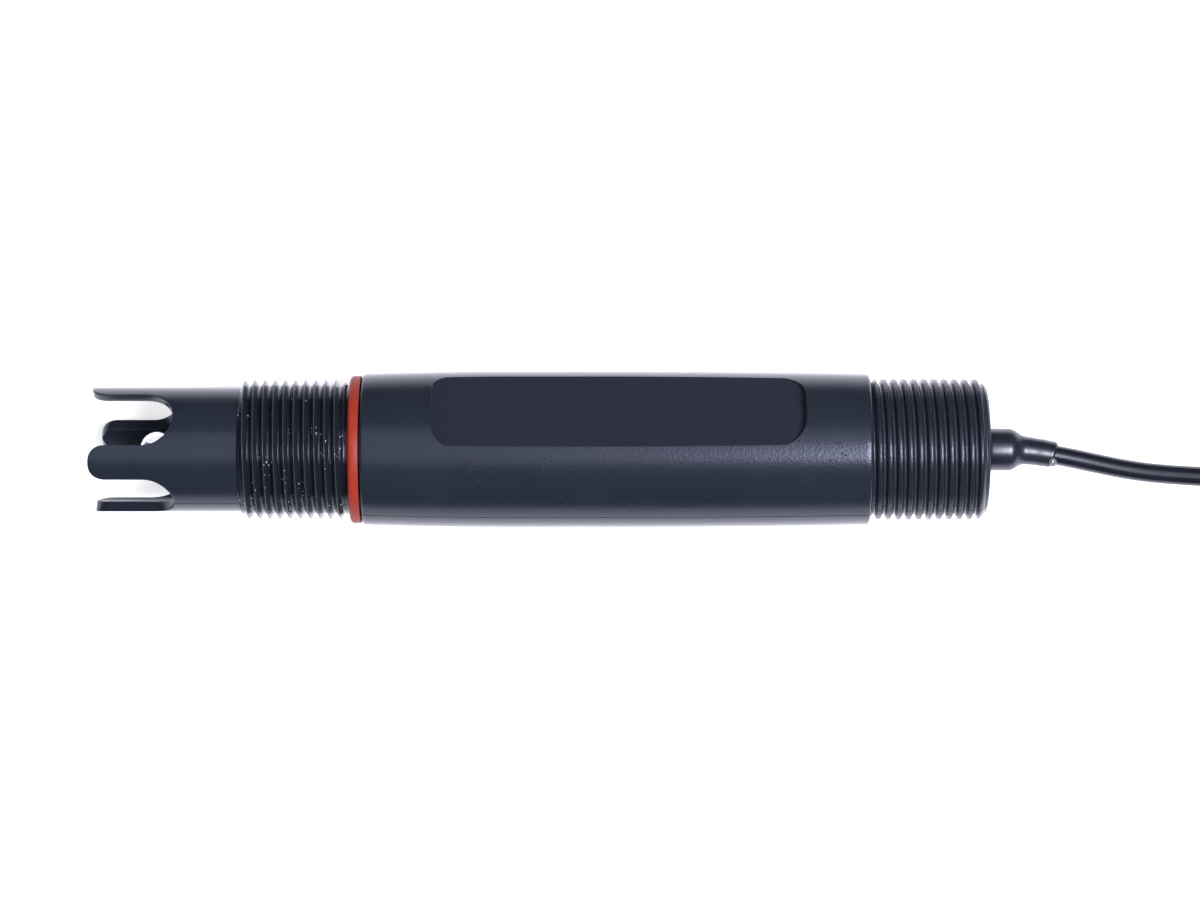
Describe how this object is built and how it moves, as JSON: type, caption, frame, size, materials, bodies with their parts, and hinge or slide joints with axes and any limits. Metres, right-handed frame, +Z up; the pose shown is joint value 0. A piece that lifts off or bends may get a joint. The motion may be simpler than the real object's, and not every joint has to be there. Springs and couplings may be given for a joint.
{
  "type": "ph electrode",
  "caption": "Process pH electrode: slotted guard over a glass bulb, pipe threads front and rear, sealing ring, wrench flats, and a coaxial lead folded in a hank with a bayonet plug.",
  "frame": {"origin": "centre of the electrode's box, on the surface that it lies on; the electrode's axis is 13.97 mm above it", "axes": "+X along the electrode from the guard's tips to the lead, +Z up"},
  "size_m": [0.2945, 0.0406, 0.0279],
  "materials": {
    "housing_plastic": "moulded engineering plastic, fine satin grain",
    "seal_rubber": "red silicone rubber, satin",
    "glass": "blown clear glass",
    "porous_polymer": "porous white polymer",
    "white_plastic": "white plastic",
    "black_rubber": "black rubber",
    "pale_rubber": "pale silicone rubber",
    "silver": "drawn silver wire",
    "chlorided_silver": "silver wire with a dull dark chloride coat",
    "wire_insulation": "clear to white wire insulation",
    "shrink_tube": "black heat-shrink tube, glossy",
    "epoxy": "black casting resin",
    "cable_jacket": "black flexible vinyl jacket, glossy",
    "tie_plastic": "black strap",
    "nickel_plate": "bright nickel plating",
    "gold_plate": "gold plating"
  },
  "bodies": {
    "electrode": {"housing": "housing_plastic", "seal_ring": "seal_rubber", "glass_electrode": "glass", "junction_ring": "porous_polymer", "stem_spacer": "white_plastic", "chamber_bung": "white_plastic", "bung_o_ring": "black_rubber", "stem_o_ring": "black_rubber", "stem_stopper": "pale_rubber", "silver_wire": "silver", "reference_wire": "chlorided_silver", "core_lead": "wire_insulation", "shield_lead": "wire_insulation", "core_solder_sleeve": "shrink_tube", "reference_solder_sleeve": "shrink_tube", "epoxy_potting": "epoxy", "cable_bush": "black_rubber", "shrink_sleeve": "shrink_tube", "cable": "cable_jacket", "cable_hank": "cable_jacket", "hank_tie_left": "tie_plastic", "hank_tie_right": "tie_plastic", "cable_tail": "cable_jacket", "plug_boot": "black_rubber", "crimp_ferrule": "nickel_plate", "plug_body": "nickel_plate", "plug_insulator": "white_plastic", "centre_pin": "gold_plate", "plug_gasket": "seal_rubber", "spring_washer": "nickel_plate"},
    "coupling": {"coupling_ring": "nickel_plate"}
  },
  "joints": [
    {"name": "coupling_turn", "type": "hinge", "parent": "electrode", "child": "coupling", "pos_m": [0.1922, 0, 0.00725], "axis": [1, 0, 0], "continuous": true}
  ]
}
